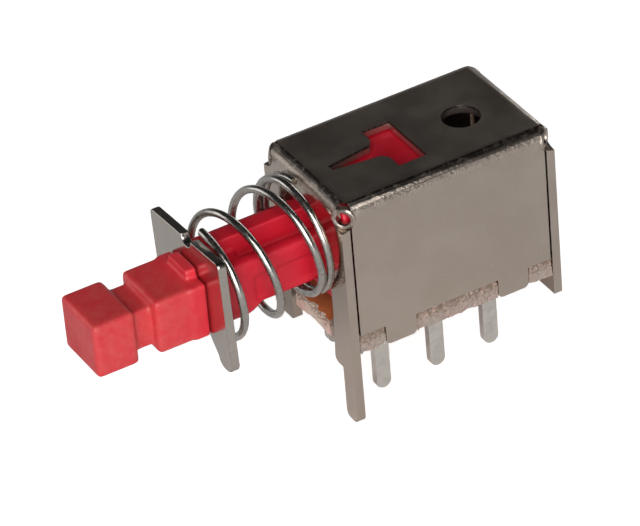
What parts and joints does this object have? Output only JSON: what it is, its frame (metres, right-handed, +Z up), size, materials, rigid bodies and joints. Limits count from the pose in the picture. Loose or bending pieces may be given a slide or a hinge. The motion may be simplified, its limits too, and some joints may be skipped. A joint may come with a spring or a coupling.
{
  "type": "pushbutton switch",
  "caption": "Right-angle pushbutton switch for a circuit board: folded steel case, flat terminals in two rows, sprung red plunger with a square stem for a cap.",
  "frame": {"origin": "centre of the terminal pattern, on the circuit board's surface, which the case's feet stand on", "axes": "+Z up away from the board; the plunger points to -Y and is pressed towards +Y; the rows of terminals run along Y; the locating leg is on the +X side"},
  "size_m": [0.0072, 0.0237, 0.0123],
  "materials": {
    "case_steel": "nickel-plated cold-rolled sheet, satin, bright at the bends",
    "retainer_steel": "nickel-plated stamped sheet",
    "spring_wire": "bright plated spring wire",
    "contact_spring_wire": "bright spring wire",
    "board_phenolic": "punched phenolic paper, with fibrous cut edges",
    "terminal_plate": "tin-plated brass strip",
    "contact_silver": "silver-plated bronze strip",
    "plunger_red": "moulded acetal, satin red"
  },
  "bodies": {
    "housing": {"case": "case_steel", "base_board": "board_phenolic", "terminal_left_front": "terminal_plate", "terminal_left_middle": "terminal_plate", "terminal_left_rear": "terminal_plate", "terminal_right_front": "terminal_plate", "terminal_right_middle": "terminal_plate", "terminal_right_rear": "terminal_plate", "return_spring": "spring_wire"},
    "slider": {"plunger": "plunger_red", "retainer_plate": "retainer_steel", "moving_contact_left": "contact_silver", "moving_contact_right": "contact_silver", "contact_spring_left": "contact_spring_wire", "contact_spring_right": "contact_spring_wire"}
  },
  "joints": [
    {"name": "plunger_slide", "type": "slide", "parent": "housing", "child": "slider", "axis": [0, 1, 0], "range_m": [0, 0.0035], "stiffness_N_per_m": 500, "springref_m": -0.003, "deforming": ["return_spring"]}
  ]
}
